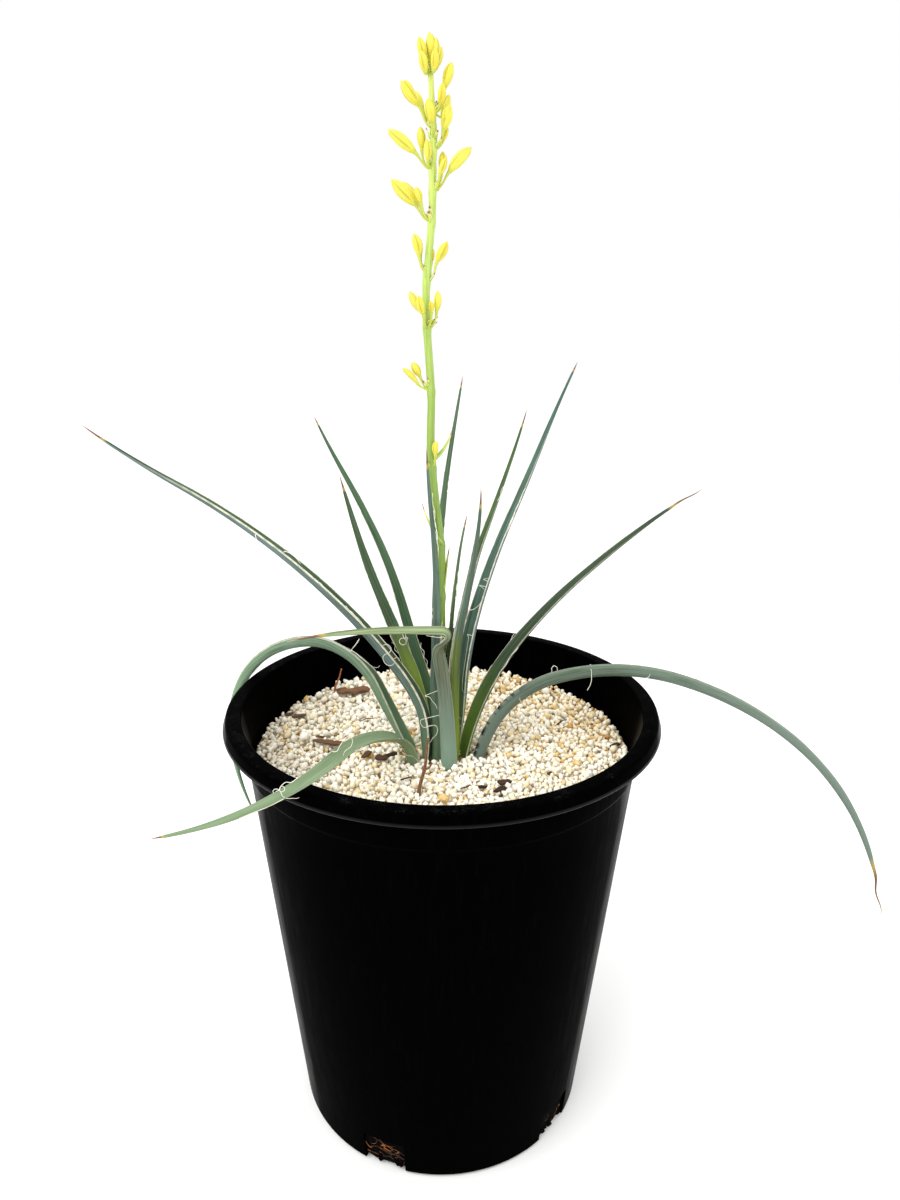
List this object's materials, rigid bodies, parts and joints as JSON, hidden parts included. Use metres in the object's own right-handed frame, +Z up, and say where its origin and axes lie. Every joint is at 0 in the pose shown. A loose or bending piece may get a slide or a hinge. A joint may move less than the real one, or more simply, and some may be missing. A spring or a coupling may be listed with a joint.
{
  "type": "potted hesperaloe",
  "caption": "Hesperaloe in a tapered black nursery pot: channelled blue-green leaves from pumice, one upright stalk of yellow buds",
  "frame": {"origin": "centre of the pot's flat underside", "axes": "+Z up along the flower stalk, -Y the side the picture shows, +X to its right"},
  "size_m": [0.5538, 0.3119, 0.7],
  "materials": {
    "black_polyethylene": "satin black, slightly dusty",
    "potting_soil": "dark moist bark mix",
    "pumice": "matte porous mineral grains",
    "rootstock": "fibrous",
    "leaf_green": "waxy blue-green, pale margins",
    "stalk_green": "smooth waxy",
    "bud_yellow": "soft waxy petals",
    "bark": "rough dry bark"
  },
  "bodies": {
    "root": {"pot": "black_polyethylene", "potting_soil": "potting_soil", "pumice": "pumice", "crown": "rootstock", "leaf_01": "leaf_green", "leaf_02": "leaf_green", "leaf_03": "leaf_green", "leaf_04": "leaf_green", "leaf_05": "leaf_green", "leaf_06": "leaf_green", "leaf_07": "leaf_green", "leaf_08": "leaf_green", "leaf_09": "leaf_green", "leaf_10": "leaf_green", "leaf_11": "leaf_green", "leaf_12": "leaf_green", "leaf_13": "leaf_green", "leaf_14": "leaf_green", "leaf_15": "leaf_green", "flower_stalk": "stalk_green", "bud_cluster_01": "bud_yellow", "bud_cluster_02": "bud_yellow", "bud_cluster_03": "bud_yellow", "bud_cluster_04": "bud_yellow", "bud_cluster_05": "bud_yellow", "bud_cluster_06": "bud_yellow", "bud_cluster_07": "bud_yellow", "bud_cluster_08": "bud_yellow", "bud_cluster_09": "bud_yellow", "bud_cluster_10": "bud_yellow", "bud_cluster_11": "bud_yellow", "bud_cluster_12": "bud_yellow", "bud_cluster_13": "bud_yellow", "bark_chip_1": "bark", "bark_chip_2": "bark", "bark_chip_3": "bark", "bark_chip_4": "bark", "bark_chip_5": "bark", "twig_1": "bark", "twig_2": "bark"}
  },
  "joints": []
}
